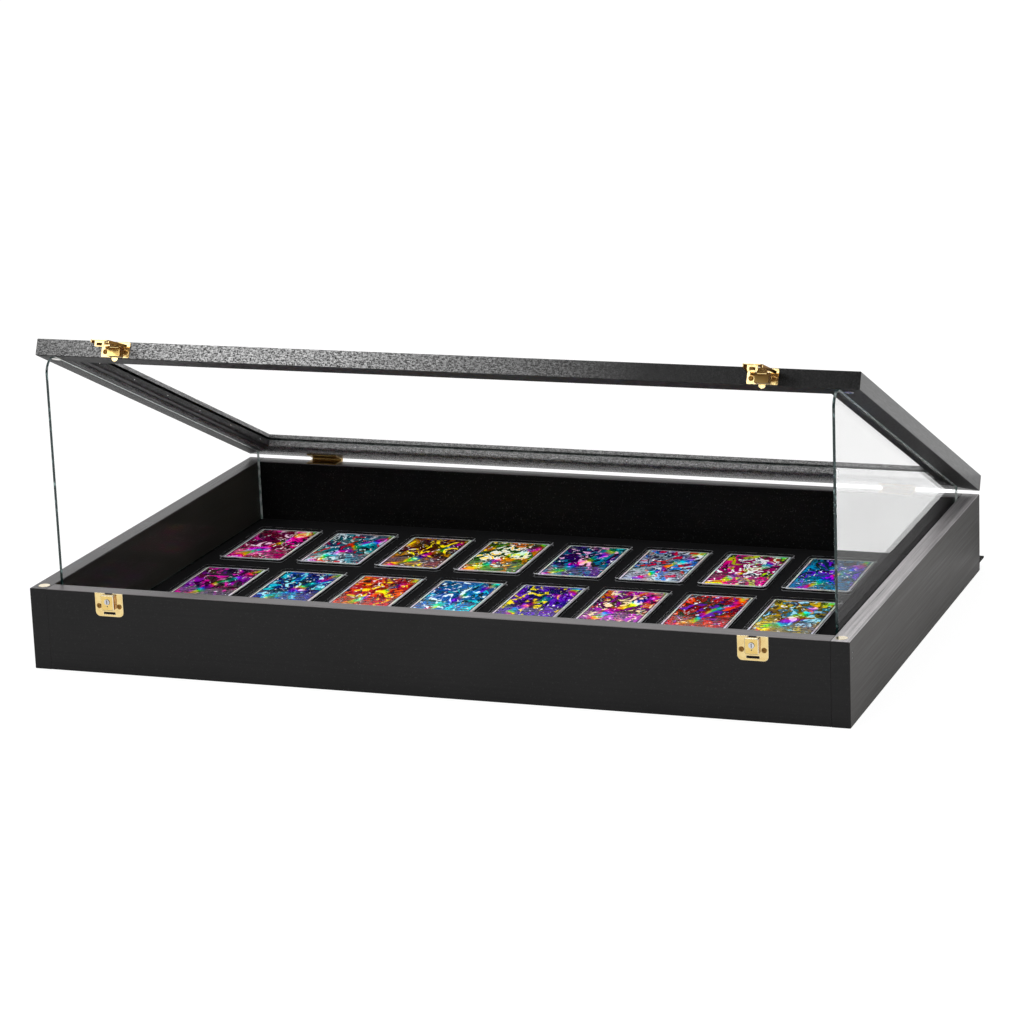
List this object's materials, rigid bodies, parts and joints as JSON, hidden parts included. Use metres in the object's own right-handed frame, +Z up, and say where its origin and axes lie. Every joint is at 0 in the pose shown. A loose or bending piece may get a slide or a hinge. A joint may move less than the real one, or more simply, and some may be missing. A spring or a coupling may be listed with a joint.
{
  "type": "trading card display case",
  "caption": "Shallow black wooden tray with a glazed hinged lid propped on glass side panels, brass hasp locks, and rows of clear card holders on a cloth deck.",
  "frame": {"origin": "bottom centre of the whole case, key plugs and rear lip included, on the surface it stands on", "axes": "+X to the right along the front, +Y from the front to the hinges, +Z up"},
  "size_m": [0.864, 0.585, 0.3474],
  "materials": {
    "tray_wood": "black painted, satin",
    "tray_underside": "thin hardboard, plain",
    "deck_board": "plain board",
    "deck_fabric": "black short-pile cloth, matte",
    "lip_board": "black painted, satin",
    "nail_steel": "bright drawn wire",
    "strike_steel": "polished",
    "magnet_steel": "nickel plated",
    "lid_wood": "black painted, satin",
    "bead_wood": "black painted, satin",
    "lid_glass": "clear float glass",
    "panel_glass": "clear glass, ground edges",
    "hinge_brass": "brass plated, polished",
    "plate_brass": "brass plated, polished",
    "hasp_brass": "brass plated, polished",
    "screw_brass": "brass plated",
    "plug_metal": "nickel plated, polished",
    "bolt_metal": "plain pressed steel",
    "holder_plastic": "clear rigid plastic",
    "card_front_row": "printed, glossy",
    "card_middle_row": "printed, glossy",
    "card_back_row": "printed, glossy"
  },
  "bodies": {
    "tray": {"tray_front_wall": "tray_wood", "tray_back_wall": "tray_wood", "tray_left_wall": "tray_wood", "tray_right_wall": "tray_wood", "tray_bottom_panel": "tray_underside", "deck_board": "deck_board", "deck_fabric": "deck_fabric", "rear_lip": "lip_board", "corner_pins": "nail_steel", "rim_strike_discs": "strike_steel", "lock_plate_left": "plate_brass", "lock_plate_right": "plate_brass", "lock_screws": "screw_brass", "hinge_tray_leaf_left": "hinge_brass", "hinge_tray_leaf_right": "hinge_brass", "hinge_pins": "hinge_brass", "hinge_tray_screws": "screw_brass", "side_glass_left": "panel_glass", "side_glass_right": "panel_glass", "card_holders_front_row": "holder_plastic", "card_holders_middle_row": "holder_plastic", "card_holders_back_row": "holder_plastic", "cards_front_row": "card_front_row", "cards_middle_row": "card_middle_row", "cards_back_row": "card_back_row"},
    "lid": {"lid_front_rail": "lid_wood", "lid_right_rail": "lid_wood", "lid_back_rail": "lid_wood", "lid_left_rail": "lid_wood", "glazing_bead_front": "bead_wood", "glazing_bead_right": "bead_wood", "glazing_bead_back": "bead_wood", "glazing_bead_left": "bead_wood", "bead_pins": "nail_steel", "lid_glass": "lid_glass", "lid_magnets": "magnet_steel", "hinge_lid_leaf_left": "hinge_brass", "hinge_lid_leaf_right": "hinge_brass", "hinge_lid_screws": "screw_brass", "catch_plate_left": "plate_brass", "catch_plate_right": "plate_brass", "catch_screws": "screw_brass", "hasp_pins": "hasp_brass"},
    "hasp_left": {"hasp_left": "hasp_brass"},
    "hasp_right": {"hasp_right": "hasp_brass"},
    "lock_plug_left": {"lock_plug_left": "plug_metal"},
    "lock_plug_right": {"lock_plug_right": "plug_metal"},
    "lock_bolt_left": {"lock_bolt_left": "bolt_metal"},
    "lock_bolt_right": {"lock_bolt_right": "bolt_metal"}
  },
  "joints": [
    {"name": "lid_hinge", "type": "hinge", "parent": "tray", "child": "lid", "pos_m": [0, 0.2755, 0.0871], "axis": [-1, 0, 0], "range_deg": [0, 70.74]},
    {"name": "hasp_hinge_left", "type": "hinge", "parent": "lid", "child": "hasp_left", "pos_m": [-0.342, -0.23564, 0.33095], "axis": [-1, 0, 0], "range_deg": [-86, 99]},
    {"name": "hasp_hinge_right", "type": "hinge", "parent": "lid", "child": "hasp_right", "pos_m": [0.337, -0.23564, 0.33095], "axis": [-1, 0, 0], "range_deg": [-89, 96]},
    {"name": "lock_plug_turn_left", "type": "hinge", "parent": "tray", "child": "lock_plug_left", "pos_m": [-0.342, -0.2895, 0.078], "axis": [0, 1, 0], "range_deg": [0, 180]},
    {"name": "lock_bolt_slide_left", "type": "slide", "parent": "tray", "child": "lock_bolt_left", "axis": [0, 0, -1], "range_m": [0, 0.0052]},
    {"name": "lock_plug_turn_right", "type": "hinge", "parent": "tray", "child": "lock_plug_right", "pos_m": [0.337, -0.2895, 0.078], "axis": [0, 1, 0], "range_deg": [0, 180]},
    {"name": "lock_bolt_slide_right", "type": "slide", "parent": "tray", "child": "lock_bolt_right", "axis": [0, 0, -1], "range_m": [0, 0.0052]}
  ],
  "couplings": [
    {"joint": "lock_plug_turn_left", "follows": "lock_bolt_slide_left", "rad_per_m": 604.15},
    {"joint": "lock_plug_turn_right", "follows": "lock_bolt_slide_right", "rad_per_m": 604.15}
  ]
}
